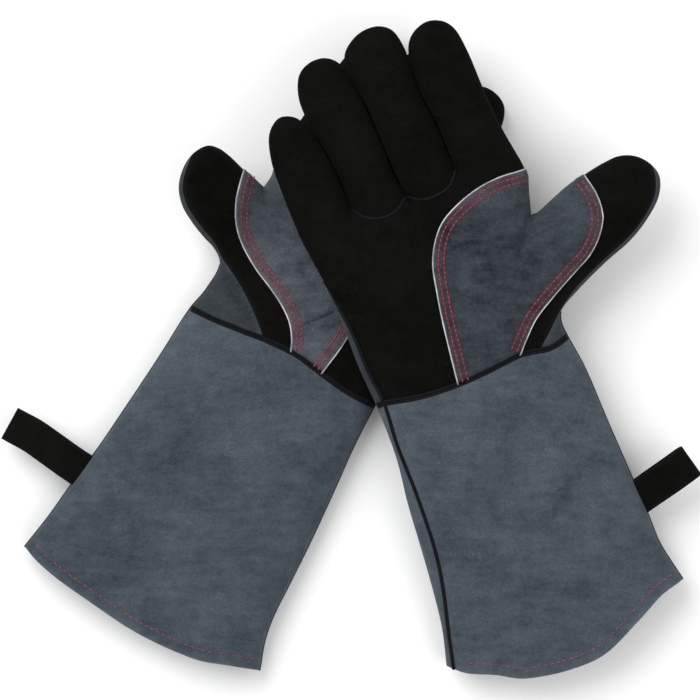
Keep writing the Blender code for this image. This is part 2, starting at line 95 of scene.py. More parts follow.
def bow(points, step=1.5):
    """A centripetal Catmull-Rom curve through the points, sampled at even steps."""
    samples = 20
    p = np.array(points, float)
    ends = np.vstack([2 * p[0] - p[1], p, 2 * p[-1] - p[-2]])
    dense = []
    for i in range(1, len(ends) - 2):
        p0, p1, p2, p3 = ends[i - 1:i + 3]
        t1 = np.linalg.norm(p1 - p0) ** 0.5
        t2 = t1 + np.linalg.norm(p2 - p1) ** 0.5
        t3 = t2 + np.linalg.norm(p3 - p2) ** 0.5
        t = np.linspace(t1, t2, samples, endpoint=False)[:, None]
        a1 = (t1 - t) / t1 * p0 + t / t1 * p1
        a2 = (t2 - t) / (t2 - t1) * p1 + (t - t1) / (t2 - t1) * p2
        a3 = (t3 - t) / (t3 - t2) * p2 + (t - t2) / (t3 - t2) * p3
        b1 = (t2 - t) / t2 * a1 + t / t2 * a2
        b2 = (t3 - t) / (t3 - t1) * a2 + (t - t1) / (t3 - t1) * a3
        dense.append((t2 - t) / (t2 - t1) * b1 + (t - t1) / (t2 - t1) * b2)
    return even(np.vstack(dense + [p[-1:]]), step)


def even(path, step):
    """The path sampled anew, at even steps."""
    run = np.concatenate([[0], np.cumsum(np.linalg.norm(np.diff(path, axis=0), axis=1))])
    at = np.linspace(0, run[-1], max(2, round(run[-1] / step)) + 1)
    return np.column_stack([np.interp(at, run, path[:, k]) for k in range(path.shape[1])])


def join(a, points, b, step=1.5):
    """A smooth curve from a to b, through the points between."""
    return bow([a, *points, b], step)


def nearest(path, point):
    return int(np.argmin(np.linalg.norm(path - np.array(point), axis=1)))


def on(path, point):
    return path[nearest(path, point)]


def cut(path, a, b):
    """The stretch of the path from its sample nearest a to its sample nearest b."""
    i, j = nearest(path, a), nearest(path, b)
    return path[i:j + 1] if i <= j else path[j:i + 1][::-1]


def ring(*paths):
    """Paths end to end as one closed loop."""
    return np.vstack([path[:-1] for path in paths])


def level(path):
    """The path as 3-D points in the plane of the side seams."""
    return np.column_stack([path, np.zeros(len(path))])


def across(path):
    """Unit vectors to the left of the path's direction."""
    along = np.gradient(path, axis=0)
    along /= np.linalg.norm(along, axis=1)[:, None] + 1e-12
    return np.column_stack([-along[:, 1], along[:, 0]])


def shift(path, distance, step=1.2):
    """The path moved to its left, with the loops that tight bends make taken out."""
    kept_share = 0.93
    moved = path + across(path) * distance
    far = gap(moved, [path]) > abs(distance) * kept_share
    return even(moved[far], step)


def gap(points, paths):
    """Distance from each point to the nearest of the paths."""
    a = np.vstack([p[:-1] for p in paths])
    d = np.vstack([p[1:] for p in paths]) - a
    size = np.maximum((d * d).sum(1), 1e-12)
    out = np.empty(len(points))
    for i in range(0, len(points), CHUNK):
        w = points[i:i + CHUNK, None, :] - a[None]
        t = np.clip((w * d).sum(2) / size, 0, 1)[..., None]
        out[i:i + CHUNK] = np.sqrt(((w - t * d) ** 2).sum(2).min(1))
    return out


def inside(points, loop):
    """Which points lie inside the loop, by counting its crossings to one side."""
    x, y = points[:, :1], points[:, 1:]
    a, b = loop, np.roll(loop, -1, axis=0)
    crosses = (a[:, 1] > y) != (b[:, 1] > y)
    rise = np.where(b[:, 1] == a[:, 1], 1e-12, b[:, 1] - a[:, 1])
    left = x < a[:, 0] + (y - a[:, 1]) * (b[:, 0] - a[:, 0]) / rise
    return (crosses & left).sum(1) % 2 == 1


def fill(loop, step, edges):
    """Triangles inside a loop: rows that follow the rounded edges, and an even grid between."""
    row_height, same = 0.866, 0.7
    low, high = loop.min(0), loop.max(0)
    closed = np.vstack([loop, loop[:1]])
    rows = []
    for k, y in enumerate(np.arange(low[1], high[1], step * row_height)):
        x = np.arange(low[0] + (k % 2) * step / 2, high[0], step)
        rows.append(np.column_stack([x, np.full(len(x), y)]))
    grid = np.vstack(rows)
    grid = grid[inside(grid, loop)]
    grid = grid[(gap(grid, [closed]) > 0.55 * step) & (gap(grid, edges) > RINGS[-1] + 0.5 * step)]
    points = [loop, grid]
    for reach in RINGS:
        near = np.vstack([e + across(e) * k for e in edges for k in (reach, -reach)])
        near = near[inside(near, loop)]
        if not len(near):
            continue
        right = np.abs(gap(near, edges) - reach) < 0.06 * reach + 0.02
        near = near[right & (gap(near, [closed]) > min(0.85 * reach, 0.6))]
        _, first = np.unique(np.round(near / same).astype(int), axis=0, return_index=True)
        points.append(near[np.sort(first)])
    every = np.vstack(points)
    border = [list(range(len(loop)))]
    mesh = delaunay_2d_cdt([Vector(p) for p in every], [], border, 1, 1e-5, False)
    flat = np.array([tuple(v) for v in mesh[0]])
    made = np.array([tuple(face[:3]) for face in mesh[2]])
    made = made[inside(flat[made].mean(1), loop)]
    a, b, c = (flat[made[:, k]] for k in range(3))
    turn = (b[:, 0] - a[:, 0]) * (c[:, 1] - a[:, 1]) - (b[:, 1] - a[:, 1]) * (c[:, 0] - a[:, 0])
    made = np.where((turn > 0)[:, None], made, made[:, ::-1])[np.abs(turn) > 1e-9]
    return flat, [tuple(int(i) for i in face) for face in made]


def quarter(t):
    """A quarter circle's rise from 0 to 1."""
    return np.sqrt(1 - (1 - np.clip(t, 0, 1)) ** 2)


def ease(t):
    """A smooth step from 0 to 1."""
    t = np.clip(t, 0, 1)
    return t * t * (3 - 2 * t)


def ripple(points, size, seed):
    """Smooth waves of about this size over the plane."""
    return np.array([noise.noise(Vector((p[0] / size, p[1] / size, seed))) for p in points])


# ---- the two gloves


class Glove:
    """One glove: its place, its outlines and seams, and the heights of its two faces."""

    def __init__(self, name, side, place, turn, tilt, plan, heights, folds, mounds,
                 raised=None):
        self.name, self.side, self.heights = name, side, heights
        self.folds, self.mounds, self.raised = folds, mounds, raised
        self.hinge, self.outward = (np.array(pair) for pair in plan["thumb_hinge"])
        self.strap = plan["strap"]
        self.matrix = (
            Matrix.Translation(Vector(place))
            @ Matrix.Rotation(math.radians(turn), 4, "Z")
            @ Matrix.Rotation(math.radians(tilt), 4, "X")
        )
        self.seed = 3.7 if side > 0 else 11.3
        self.lay_edges(plan)
        self.lay_seams(plan)
        self.lay_fingers(plan)
        self.lay_patch(plan)

    def lay_edges(self, plan):
        """The outlines, and the places on them where seams end."""
        fingers = plan["fingers"]
        self.little_run = bow(plan["little_side"] + fingers["little"])
        self.index_run = bow(fingers["index"] + plan["index_side"])
        self.thumb_run = bow(plan["thumb"] + plan["thumb_side"])
        self.ring_run, self.middle_run = bow(fingers["ring"]), bow(fingers["middle"])
        self.little_base = on(self.little_run, fingers["little"][0])
        self.index_base = on(self.index_run, fingers["index"][-1])
        self.crotch = self.thumb_run[0]
        self.tip = on(self.thumb_run, plan["tip"])
        self.heel = on(self.thumb_run, plan["thumb"][-1])
        self.thumb_wrist = on(self.thumb_run, plan["wrist"][-1])
        self.hem_thumb, self.hem_little = self.thumb_run[-1], self.little_run[0]
        self.out_wrist = on(self.little_run, plan["out_wrist"])
        self.edges = [self.little_run, self.ring_run, self.middle_run, self.index_run,
                      self.thumb_run]
        self.hem = join(self.hem_little, plan["hem"], self.hem_thumb)

    def lay_seams(self, plan):
        """The seams of the palm's side, the wrist and the thumb."""
        self.seamed = "little_seam" in plan
        if self.seamed:
            self.merge = on(self.little_run, plan["merge"])
            first, *rest = plan["little_seam"]
            self.little_seam = join(on(self.hem, first), rest, self.merge)
            self.wrist_little = on(self.little_seam, plan["wrist"][0])
            self.hem_seam = self.little_seam[0]
        else:
            self.wrist_little, self.hem_seam = self.out_wrist, self.hem_little
        self.wrist = join(self.wrist_little, plan["wrist"][1:-1], self.thumb_wrist)
        self.whole_wrist = self.wrist
        if self.seamed:
            self.wrist_lip = join(self.out_wrist, [], self.wrist_little, 1.2)
            self.whole_wrist = np.vstack([self.wrist_lip[:-1], self.wrist])
        first, *rest = plan["thumb_seam"]
        self.thumb_seam = join(on(self.wrist, first), rest, self.tip)
        self.seam_heel = on(self.thumb_seam, self.heel)
        self.bridge = np.array([self.heel, self.seam_heel])
        first, *rest = plan["split"]
        self.split = join(on(self.wrist, first), rest, self.crotch)
        middle = (self.heel + self.crotch) / 2
        self.thumb_base = join(self.heel, [middle], self.crotch, 2)

    def lay_fingers(self, plan):
        """The lines across the fingers' bases, where their outlines meet."""
        fingers = plan["fingers"]
        base_little, base_index = fingers["ring"][0], fingers["index"][0]
        self.little_line = join(self.little_base, [], base_little)
        self.knuckle = join(base_little, KNUCKLE, base_index)
        self.valley = on(self.knuckle, fingers["middle"][0])
        self.index_line = join(base_index, [], self.index_base)
        self.ring_run[0], self.ring_run[-1] = base_little, self.valley
        self.middle_run[0], self.middle_run[-1] = self.valley, base_index
        self.little_run[-1], self.index_run[0] = base_little, base_index
        # a seam's groove: its path, depth and half width
        self.grooves = [(self.whole_wrist, 1.5, 2.3), (self.knuckle, 1.0, 1.9),
                        (self.thumb_seam[:-6], 0.9, 1.6)]
        if self.seamed:
            self.grooves.append((self.little_seam[:-8], 1.6, 2.2))

    def lay_patch(self, plan):
        """The two long edges of the patch over the thumb's ball."""
        first, *rest = plan["patch_left"]
        top = on(self.index_run, plan["patch_top"])
        self.patch_left = join(on(self.wrist, first), rest, top, 1.2)
        first, *rest = plan["patch_right"]
        tip = on(self.thumb_run, plan["patch_tip"])
        self.patch_right = join(on(self.wrist, first), rest, tip, 1.2)

    def lift(self, points):
        """How far the raised thumb stands above the glove's plane, and how much it slopes."""
        if self.raised is None:
            return np.zeros(len(points)), np.zeros(len(points))
        soft, beyond = 4, 8
        out = self.outward / np.linalg.norm(self.outward)
        along = np.array([-out[1], out[0]])
        reach = (points - self.hinge) @ out
        past = (points - self.crotch) @ along
        there = 1 - ease(past / beyond)
        rise = soft * np.logaddexp(0, reach / soft)
        sloping = there / (1 + np.exp(-reach / soft))
        return rise * math.tan(math.radians(self.raised)) * there, sloping

    def ground(self, points):
        """The height, in the glove's own frame, at which it touches the ground."""
        m = np.array(self.matrix)
        above = m[2, 3] * 1000 + m[2, 0] * self.side * points[:, 0] + m[2, 1] * points[:, 1]
        return (CLEAR - above) / m[2, 2]

    def height(self, points, face):
        """Height of the palm's or the back's outside over the plane of the side seams."""
        d = gap(points, self.edges)
        top, crown, width = self.heights[face]
        bulge = (1 - np.cos(math.pi * np.clip(d / CROWN_FADE, 0, 1))) / 2
        z = top * quarter(d / width) + crown * bulge
        cuff = ease((-points[:, 1] - 5) / 40)
        seed = self.seed + face
        uneven = sum((rise + added * cuff) * ripple(points, size, seed + own)
                     for size, rise, added, own in RIPPLES)
        z += quarter(d / RIPPLE_FADE) * uneven
        if face == PALM:
            creases = [(*groove, GROOVE_FADE) for groove in self.grooves]
            creases += [(bow([a, b], 4), *size, FOLD_FADE) for a, b, *size in self.folds]
            for path, depth, wide, fade in creases:
                z -= depth * quarter(d / fade) * np.exp(-((gap(points, [path]) / wide) ** 2))
            for u, v, wide, rise in self.mounds:
                away = np.hypot(points[:, 0] - u, points[:, 1] - v)
                z += rise * quarter(d / MOUND_FADE) * np.exp(-((away / wide) ** 2))
        rise, sloping = self.lift(points)
        thick = 1 + (1 / math.cos(math.radians(self.raised or 0)) - 1) * sloping
        out = face * np.maximum(z, 0) * thick + rise
        return out if face == PALM else np.maximum(out, self.ground(points))

    def lay(self, path, face, stand):
        """Points of a path on the palm or the back, stand above the leather."""
        h, steepest = 0.5, 3
        z = self.height(path, face)
        right = self.height(path + (h, 0), face) - self.height(path - (h, 0), face)
        up = self.height(path + (0, h), face) - self.height(path - (0, h), face)
        normal = np.column_stack([-right / (2 * h), -up / (2 * h), np.ones(len(path))]) * face
        normal = np.clip(normal, -steepest, steepest)
        normal /= np.linalg.norm(normal, axis=1)[:, None]
        return np.column_stack([path, z]) + normal * np.reshape(stand, (-1, 1))

    def world(self, points):
        """From the glove's own plane, in mm, to the frame, in m."""
        local = points * np.array([self.side, 1, 1]) / 1000
        m = np.array(self.matrix)
        return local @ m[:3, :3].T + m[:3, 3]

    def spot(self, u, v, z=10.0):
        """A place inside the glove, in the frame."""
        return tuple(self.world(np.array([[u, v, z]], float))[0])


# the seam across the two middle fingers' bases, the same on both gloves
KNUCKLE = [(-29, 108), (-20, 104.5), (-11, 105.5), (-2.5, 110), (5, 106), (15, 105.5), (24, 108)]

# a plan's points are (u, v) in mm; a face's heights are its rim's, its crown's added to that,
# and the rim's width; a fold is (end, end, depth, half width), and a mound is (u, v, half
# width, height)
RIGHT_PLAN = dict(
    little_side=[(-80, -161), (-74.5, -139), (-71.5, -116), (-69, -88), (-67, -62), (-63.5, -33),
                 (-63.5, 0), (-65, 25), (-65, 58), (-67, 86)],
    little_seam=[(-76, -164), (-71, -140), (-65, -115), (-61.5, -92), (-60, -60), (-60, -25),
                 (-58.5, 0), (-60.5, 22), (-61, 45), (-63.5, 66)],
    merge=(-67, 86), out_wrist=(-63.5, 0),
    fingers=dict(
        little=[(-70, 113), (-70.5, 137), (-69.5, 160), (-64.5, 175), (-56, 181),
                (-47.5, 178), (-42, 169), (-38.6, 154), (-36.4, 134), (-35.6, 115)],
        ring=[(-35.6, 115), (-35.6, 134), (-37.8, 154), (-41.5, 176), (-41, 189),
              (-36, 200.5), (-28, 205), (-18.5, 204.5), (-11.8, 199), (-9.2, 189),
              (-6.4, 170), (-5.2, 141), (-4.4, 120), (-2.5, 110)],
        middle=[(-2.5, 110), (-3.6, 120), (-4.4, 141), (-5.6, 170), (-8.3, 189), (-7, 201.5),
                (0.5, 208.5), (9.5, 211.5), (18.5, 210.5), (24.8, 205.5), (27.8, 193),
                (26.6, 166), (29, 144), (29.4, 124), (30.4, 115)],
        index=[(30.4, 115), (30.2, 124), (29.8, 144), (27.4, 166), (29.8, 192),
               (35.5, 199.5), (45.5, 203), (54.5, 200), (59.5, 193.5), (62, 179), (63, 151),
               (65, 127), (67.3, 113)],
    ),
    index_side=[(69, 99), (65.5, 86), (62, 73)],
    thumb=[(62, 73), (67, 73), (75, 76), (88, 81), (103, 85), (114, 87), (124, 87.5), (133, 84),
           (139.5, 77), (142.3, 68), (138, 57), (126, 46), (112.5, 38), (94, 31), (73, 21.5),
           (59, 13)],
    tip=(141, 75),
    thumb_side=[(57, 6), (57.5, -1), (60.5, -23), (62, -60), (63.8, -97), (64.8, -118),
                (65.3, -138), (68, -152), (70.5, -163)],
    wrist=[(-58.5, 0), (-37, -3), (-14, -4), (5, -3), (28, -1), (45, -4), (58, -1)],
    thumb_seam=[(39, -2.5), (47, 4), (58, 13.5), (72, 23.3), (93, 33), (111.3, 40.2),
                (124.5, 48), (135.5, 58.5), (139.6, 68)],
    split=[(18, -2), (24, 14), (38, 28), (52, 42), (59, 58)],
    hem=[(-71, -168), (-54, -175.5), (-40, -183), (-12, -188), (10, -187), (38, -174.5),
         (56, -166)],
    patch_left=[(-14, -4), (-11.5, 15), (-9, 34), (-6, 52), (-2.5, 68), (4, 80.5), (13, 90),
                (30, 98), (50, 102)], patch_top=(68.5, 101),
    patch_right=[(27, -1), (34, 7), (43, 15.5), (57, 24), (74, 33), (87, 40), (96, 49),
                 (102, 60), (103, 72)], patch_tip=(101, 84.5),
    thumb_hinge=((62.3, 40.7), (0.987, 0.159)),
    strap=dict(spine=[(62, -108), (72, -105.3), (84, -102.3), (96.8, -99)],
               half=10.4, twist=6, sweep=1.2),
)

LEFT_PLAN = dict(
    little_side=[(-78, -171), (-72.5, -155), (-70, -141), (-69, -116), (-68, -89), (-66, -58),
                 (-63.5, -25), (-63, 0), (-64, 25), (-65, 58), (-67, 86)],
    out_wrist=(-63, 1),
    fingers=dict(
        little=[(-70, 113), (-71, 133), (-70, 152), (-66, 168), (-58, 175), (-50, 172),
                (-44.5, 163), (-40.5, 147), (-37.4, 130), (-35.6, 115)],
        ring=[(-35.6, 115), (-36.6, 130), (-39.7, 147), (-48.5, 172), (-50, 183), (-45.5, 195),
              (-37, 199.5), (-28, 199), (-20, 193), (-16.5, 183), (-12.6, 165), (-8.6, 140),
              (-5.6, 121), (-2.5, 110)],
        middle=[(-2.5, 110), (-4.8, 121), (-7.8, 140), (-11.8, 165), (-15.6, 183), (-14, 196),
                (-6, 203), (3, 206), (12, 205), (18.5, 199), (21, 188), (21.5, 163),
                (25, 142), (28, 125), (30.4, 115)],
        index=[(30.4, 115), (28.8, 125), (25.8, 142), (22.3, 163), (23, 187), (27.5, 195.5),
               (36, 198), (44, 195), (49, 188), (52.5, 174), (55.5, 149), (58, 127),
               (60.5, 113)],
    ),
    index_side=[(59.5, 104), (56.5, 94), (57, 83)],
    thumb=[(57, 83), (65, 85), (73, 87), (82, 89.5), (90.5, 90.7), (97, 89), (101.5, 83),
           (103.6, 75.5), (103.3, 67), (100.6, 58.5), (94.3, 50.7), (85, 44.9), (75, 40.5),
           (66, 37.3), (59, 31)],
    tip=(102.8, 79.5),
    thumb_side=[(59, 14), (62, -1), (64.3, -34), (67.2, -67), (70.8, -103), (74, -125), (77, -150),
                (81, -173)],
    wrist=[(-63, 1), (-46, 0), (-28, 2), (-8, 5), (14, 4), (30, 2), (48, 0), (62, -1)],
    thumb_seam=[(14, 4), (25, 13.5), (38, 23), (49, 29.5), (59, 34.5), (67, 40.3), (76, 44),
                (84.5, 47.8), (92.8, 53), (98.7, 60.3), (101.2, 68)],
    split=[(-8, 5), (-1, 20), (16, 33), (36, 47), (51, 62)],
    hem=[(-62, -176.5), (-44, -182.5), (-22, -185.5), (2, -186), (30, -183.3), (54, -180.5),
         (70, -177)],
    patch_left=[(-26, 2.5), (-29, 28), (-27, 50), (-20, 70), (-6, 85), (12, 95), (36, 100)],
    patch_top=(57, 99),
    patch_right=[(-3, 4.5), (-1, 11), (5, 19.5), (13, 26), (25, 32.5), (38, 38.5), (53, 48),
                 (62, 57), (68, 68), (71, 78)], patch_tip=(73, 87),
    thumb_hinge=((67.6, 42.9), (0.939, 0.344)),
    strap=dict(spine=[(68, -117), (80, -116), (94, -114.2), (108, -112.6), (120.3, -112.6)],
               half=10.5, twist=-11, sweep=4.5),
)

gloves = [
    Glove("right", 1, (0.0736, -0.0132, 0.032671), 21, 6.3013, RIGHT_PLAN,
          {PALM: (8.5, 4.5, 15), BACK: (9.2, 1.6, 15)},
          folds=[((14, -38), (-27, -117), 4.2, 10), ((30, -50), (-8, -130), -2.2, 9),
                 ((60, 71), (47, 54), 2.6, 3.2), ((49, 62), (39, 50), -0.8, 2.5),
                 ((62, -60), (36, -92), 1.8, 8), ((-50, -60), (-20, -95), 1.6, 9),
                 ((52, -14), (42, -62), 1.6, 8), ((-40, 60), (-10, 74), 1.0, 5),
                 ((34, 30), (52, 44), 1.4, 6), ((8, 62), (30, 74), 1.3, 7),
                 ((-40, -130), (20, -150), 1.3, 12), ((60, 24), (88, 42), 1.2, 6)],
          mounds=[(20, 34, 20, 4.0), (50, 84, 14, 2.0), (88, 62, 15, 2.6), (-30, 60, 25, 1.5),
                  (-20, -60, 26, 2.0), (40, -120, 24, 2.2)]),
    Glove("left", -1, (-0.0422, -0.0066, 0.012), -28.5, 0, LEFT_PLAN,
          {PALM: (8.8, 1.6, 15), BACK: (11.3, 0.2, 10)},
          folds=[((-3, 23), (-15, 38), 1.9, 1.8), ((24, 11.5), (50, 28), -1.6, 1.3),
                 ((28, 10.5), (51, 25), 2.6, 2.2), ((60, -30), (20, -70), 1.9, 11),
                 ((-50, -100), (-10, -140), 1.7, 10), ((40, -110), (0, -150), 1.6, 11),
                 ((20, -14), (-10, -50), 1.3, 9)],
          mounds=[(40, -60, 22, 1.6), (-10, -110, 26, 1.8), (50, -140, 20, 1.6)],
          raised=51),
]


# ---- meshes


def normals_of(points, faces):
    """Unit normals at the points, from the triangles around them."""
    out = np.zeros_like(points)
    tri = np.array(faces)
    a, b, c = (points[tri[:, k]] for k in range(3))
    n = np.cross(b - a, c - a)
    for k in range(3):
        np.add.at(out, tri[:, k], n)
    return out / (np.linalg.norm(out, axis=1)[:, None] + 1e-12)


def shell_of(faces, count):
    """Two skins of the same triangles, count points apart, and walls round their rims."""
    directed = {(f[k], f[(k + 1) % 3]) for f in faces for k in range(3)}
    shell = list(faces) + [tuple(i + count for i in f[::-1]) for f in faces]
    shell += [(b, a, a + count, b + count) for a, b in sorted(directed)
              if (b, a) not in directed]
    return shell


def add_object(glove, name, verts, faces, material, sharp=48, wear=None):
    """A named piece of a glove, from points in the glove's own plane."""
    if glove.side < 0:
        faces = [f[::-1] for f in faces]
    name, verts = f"{glove.name}_{name}", glove.world(verts)
    mesh = bpy.data.meshes.new(name)
    mesh.from_pydata([tuple(v) for v in verts], [], faces)
    mesh.validate()
    mesh.update()
    mesh.shade_smooth()
    mesh.set_sharp_from_angle(angle=math.radians(sharp))
    if wear is not None:
        mesh.attributes.new("wear", "FLOAT", "POINT").data.foreach_set(
            "value", np.asarray(wear, np.float32))
    mesh.materials.append(material)
    piece = bpy.data.objects.new(name, mesh)
    bpy.context.scene.collection.objects.link(piece)
    return piece


def weld(points, faces, wear):
    """Joins the points that two parts of one panel share along the outline."""
    steps_per_mm = 200
    _, first, where = np.unique(np.round(points * steps_per_mm).astype(np.int64), axis=0,
                                return_index=True, return_inverse=True)
    where = where.reshape(-1)
    joined = [tuple(int(where[i]) for i in f) for f in faces]
    return points[first], [f for f in joined if len(set(f)) == 3], wear[first]


def panel(glove, name, parts, material, outer=0.0, inner=-LEATHER, step=2.0, wear=1.0):
    """A leather shell over parts of the glove's two faces: [(loop, face)]."""
    worn_width = 1.3
    points, faces, edge = [], [], []
    start = 0
    for loop, face in parts:
        flat, made = fill(loop, step, glove.edges)
        z = glove.height(flat, face)
        points.append(np.column_stack([flat, z]))
        faces += [tuple(i + start for i in (f if face > 0 else f[::-1])) for f in made]
        edge.append(np.exp(-gap(flat, [np.vstack([loop, loop[:1]])]) / worn_width) * wear)
        start += len(flat)
    points, faces, edge = weld(np.vstack(points), faces, np.concatenate(edge))
    n = normals_of(points, faces)
    reach = [f(points[:, :2]) if callable(f) else np.full(len(points), float(f))
             for f in (outer, inner)]
    count = len(points)
    verts = np.vstack([points + n * r[:, None] for r in reach])
    return add_object(glove, name, verts, shell_of(faces, count), material,
                      wear=np.concatenate([edge, edge]))


def tube(points, radius, sides=8, closed=False):
    """Verts and faces of a round tube along 3-D points, with pointed ends."""
    point = 0.7
    p = np.array(points, float)
    if closed:
        along = np.roll(p, -1, axis=0) - np.roll(p, 1, axis=0)
    else:
        along = np.gradient(p, axis=0)
    along /= np.linalg.norm(along, axis=1)[:, None] + 1e-12
    side = np.cross(along, (0.0, 0.0, 1.0))
    side /= np.linalg.norm(side, axis=1)[:, None] + 1e-12
    up = np.cross(side, along)
    r = np.broadcast_to(np.asarray(radius, float), (len(p),))
    angles = np.arange(sides) / sides * 2 * math.pi
    spokes = (side[:, None] * np.cos(angles)[None, :, None]
              + up[:, None] * np.sin(angles)[None, :, None])
    verts = (p[:, None] + r[:, None, None] * spokes).reshape(-1, 3)
    faces = []
    count = len(p)
    for i in range(count if closed else count - 1):
        j = (i + 1) % count
        for k in range(sides):
            m = (k + 1) % sides
            faces.append((i * sides + k, i * sides + m, j * sides + m, j * sides + k))
    if not closed:
        tips = np.vstack([p[0] - along[0] * r[0] * point, p[-1] + along[-1] * r[-1] * point])
        verts = np.vstack([verts, tips])
        for k in range(sides):
            m = (k + 1) % sides
            faces.append((m, k, count * sides))
            faces.append(((count - 1) * sides + k, (count - 1) * sides + m, count * sides + 1))
    return verts, faces


def gather(glove, name, tubes, material):
    """Several tubes as one piece."""
    verts, faces, start = [], [], 0
    for v, f in tubes:
        verts.append(v)
        faces += [tuple(i + start for i in face) for face in f]
        start += len(v)
    return add_object(glove, name, np.vstack(verts), faces, material, sharp=80)


def strands(glove, name, runs, material):
    """Cords as one piece: [(points, radius, closed)]."""
    return gather(glove, name, [tube(p, r, closed=closed) for p, r, closed in runs], material)


def stitches(glove, name, rows, material, pitch=2.9, length=2.5, radius=0.52):
    """Rows of separate stitches: each dives into the leather at both its ends."""
    tubes = []
    fine, wander, turned = 0.25, 0.25, 0.14
    # one stitch, from hole to hole: heights for a thread of this radius, and shares of its own
    drawn_radius = 0.42
    sag = np.array([-0.75, -0.1, 0.2, 0.3, 0.2, -0.1, -0.75])
    thick = np.array([0.55, 0.9, 1.0, 1.0, 1.0, 0.9, 0.55])
    for row, (path, stand) in enumerate(rows):
        line = even(path, fine)
        run = fine * (len(line) - 1)
        step = run / max(1, round(run / pitch))
        for k in range(int(run / step)):
            middle = (k + 0.5) * step + wander * noise.noise(Vector((k * 0.7, row * 3.1, 0.5)))
            at = np.linspace(middle - length / 2, middle + length / 2, len(sag)) / fine
            where = np.column_stack([np.interp(at, np.arange(len(line)), line[:, c])
                                     for c in (0, 1)])
            skew = turned * noise.noise(Vector((k * 1.3, row * 5.7, 2.5)))
            where += across(where) * (np.linspace(-1, 1, len(sag)) * skew)[:, None]
            above = stand + sag * radius / drawn_radius
            tubes.append(tube(glove.lay(where, PALM, above), radius * thick, sides=6))
    return gather(glove, name, tubes, material)


# ---- materials


def shader(name, roughness, sheen=0.0, sheen_roughness=0.5, specular=0.3):
    material = bpy.data.materials.new(name)
    material.use_nodes = True
    bsdf = material.node_tree.nodes["Principled BSDF"]
    bsdf.inputs["Roughness"].default_value = roughness
    bsdf.inputs["Sheen Weight"].default_value = sheen
    bsdf.inputs["Sheen Roughness"].default_value = sheen_roughness
    bsdf.inputs["Specular IOR Level"].default_value = specular
    return material, bsdf


class Nodes:
    """Short names for the few kinds of node that the materials are made of."""

    def __init__(self, material):
        self.tree = material.node_tree
        self.space = self.tree.nodes.new("ShaderNodeTexCoord").outputs["Object"]

    def new(self, kind, **settings):
        node = self.tree.nodes.new(kind)
        for key, value in settings.items():
            setattr(node, key, value)
        return node

    def link(self, a, b):
        self.tree.links.new(a, b)

    def noise(self, scale, detail=3.0, rough=0.55, stretch=None, distortion=0.0):
        node = self.new("ShaderNodeTexNoise")
        node.inputs["Scale"].default_value = scale
        node.inputs["Detail"].default_value = detail
        node.inputs["Roughness"].default_value = rough
        node.inputs["Distortion"].default_value = distortion
        if stretch:
            mapping = self.new("ShaderNodeMapping")
            mapping.inputs["Scale"].default_value = stretch[0]
            mapping.inputs["Rotation"].default_value = (0, 0, math.radians(stretch[1]))
            self.link(self.space, mapping.inputs["Vector"])
            self.link(mapping.outputs[0], node.inputs["Vector"])
        else:
            self.link(self.space, node.inputs["Vector"])
        return node.outputs["Fac"]

    def math(self, kind, a, b):
        node = self.new("ShaderNodeMath", operation=kind)
        for socket, value in zip(node.inputs, (a, b)):
            if isinstance(value, (int, float)):
                socket.default_value = value
            else:
                self.link(value, socket)
        return node.outputs[0]

    def weigh(self, *pairs):
        """The sum of some values, each times its share."""
        parts = [self.math("MULTIPLY", value, share) for value, share in pairs]
        total = parts[0]
        for part in parts[1:]:
            total = self.math("ADD", total, part)
        return total

    def ramp(self, fac, low, high, a=0.3, b=0.7):
        node = self.new("ShaderNodeValToRGB")
        node.color_ramp.elements[0].position, node.color_ramp.elements[1].position = a, b
        node.color_ramp.elements[0].color = (*low, 1)
        node.color_ramp.elements[1].color = (*high, 1)
        self.link(fac, node.inputs["Fac"])
        return node.outputs["Color"]

    def mix(self, fac, a, b, kind="MIX"):
        node = self.new("ShaderNodeMix", data_type="RGBA", blend_type=kind)
        sockets = {s.identifier: s for s in node.inputs}
        for key, value in (("Factor_Float", fac), ("A_Color", a), ("B_Color", b)):
            if isinstance(value, (int, float)):
                sockets[key].default_value = value
            elif isinstance(value, tuple):
                sockets[key].default_value = (*value, 1)
            else:
                self.link(value, sockets[key])
        return next(s for s in node.outputs if s.identifier == "Result_Color")

    def bump(self, heights, bsdf):
        last = None
        for fac, strength, distance in heights:
            node = self.new("ShaderNodeBump")
            node.inputs["Strength"].default_value = strength
            node.inputs["Distance"].default_value = distance
            self.link(fac, node.inputs["Height"])
            if last is not None:
                self.link(last, node.inputs["Normal"])
            last = node.outputs["Normal"]
        self.link(last, bsdf.inputs["Normal"])


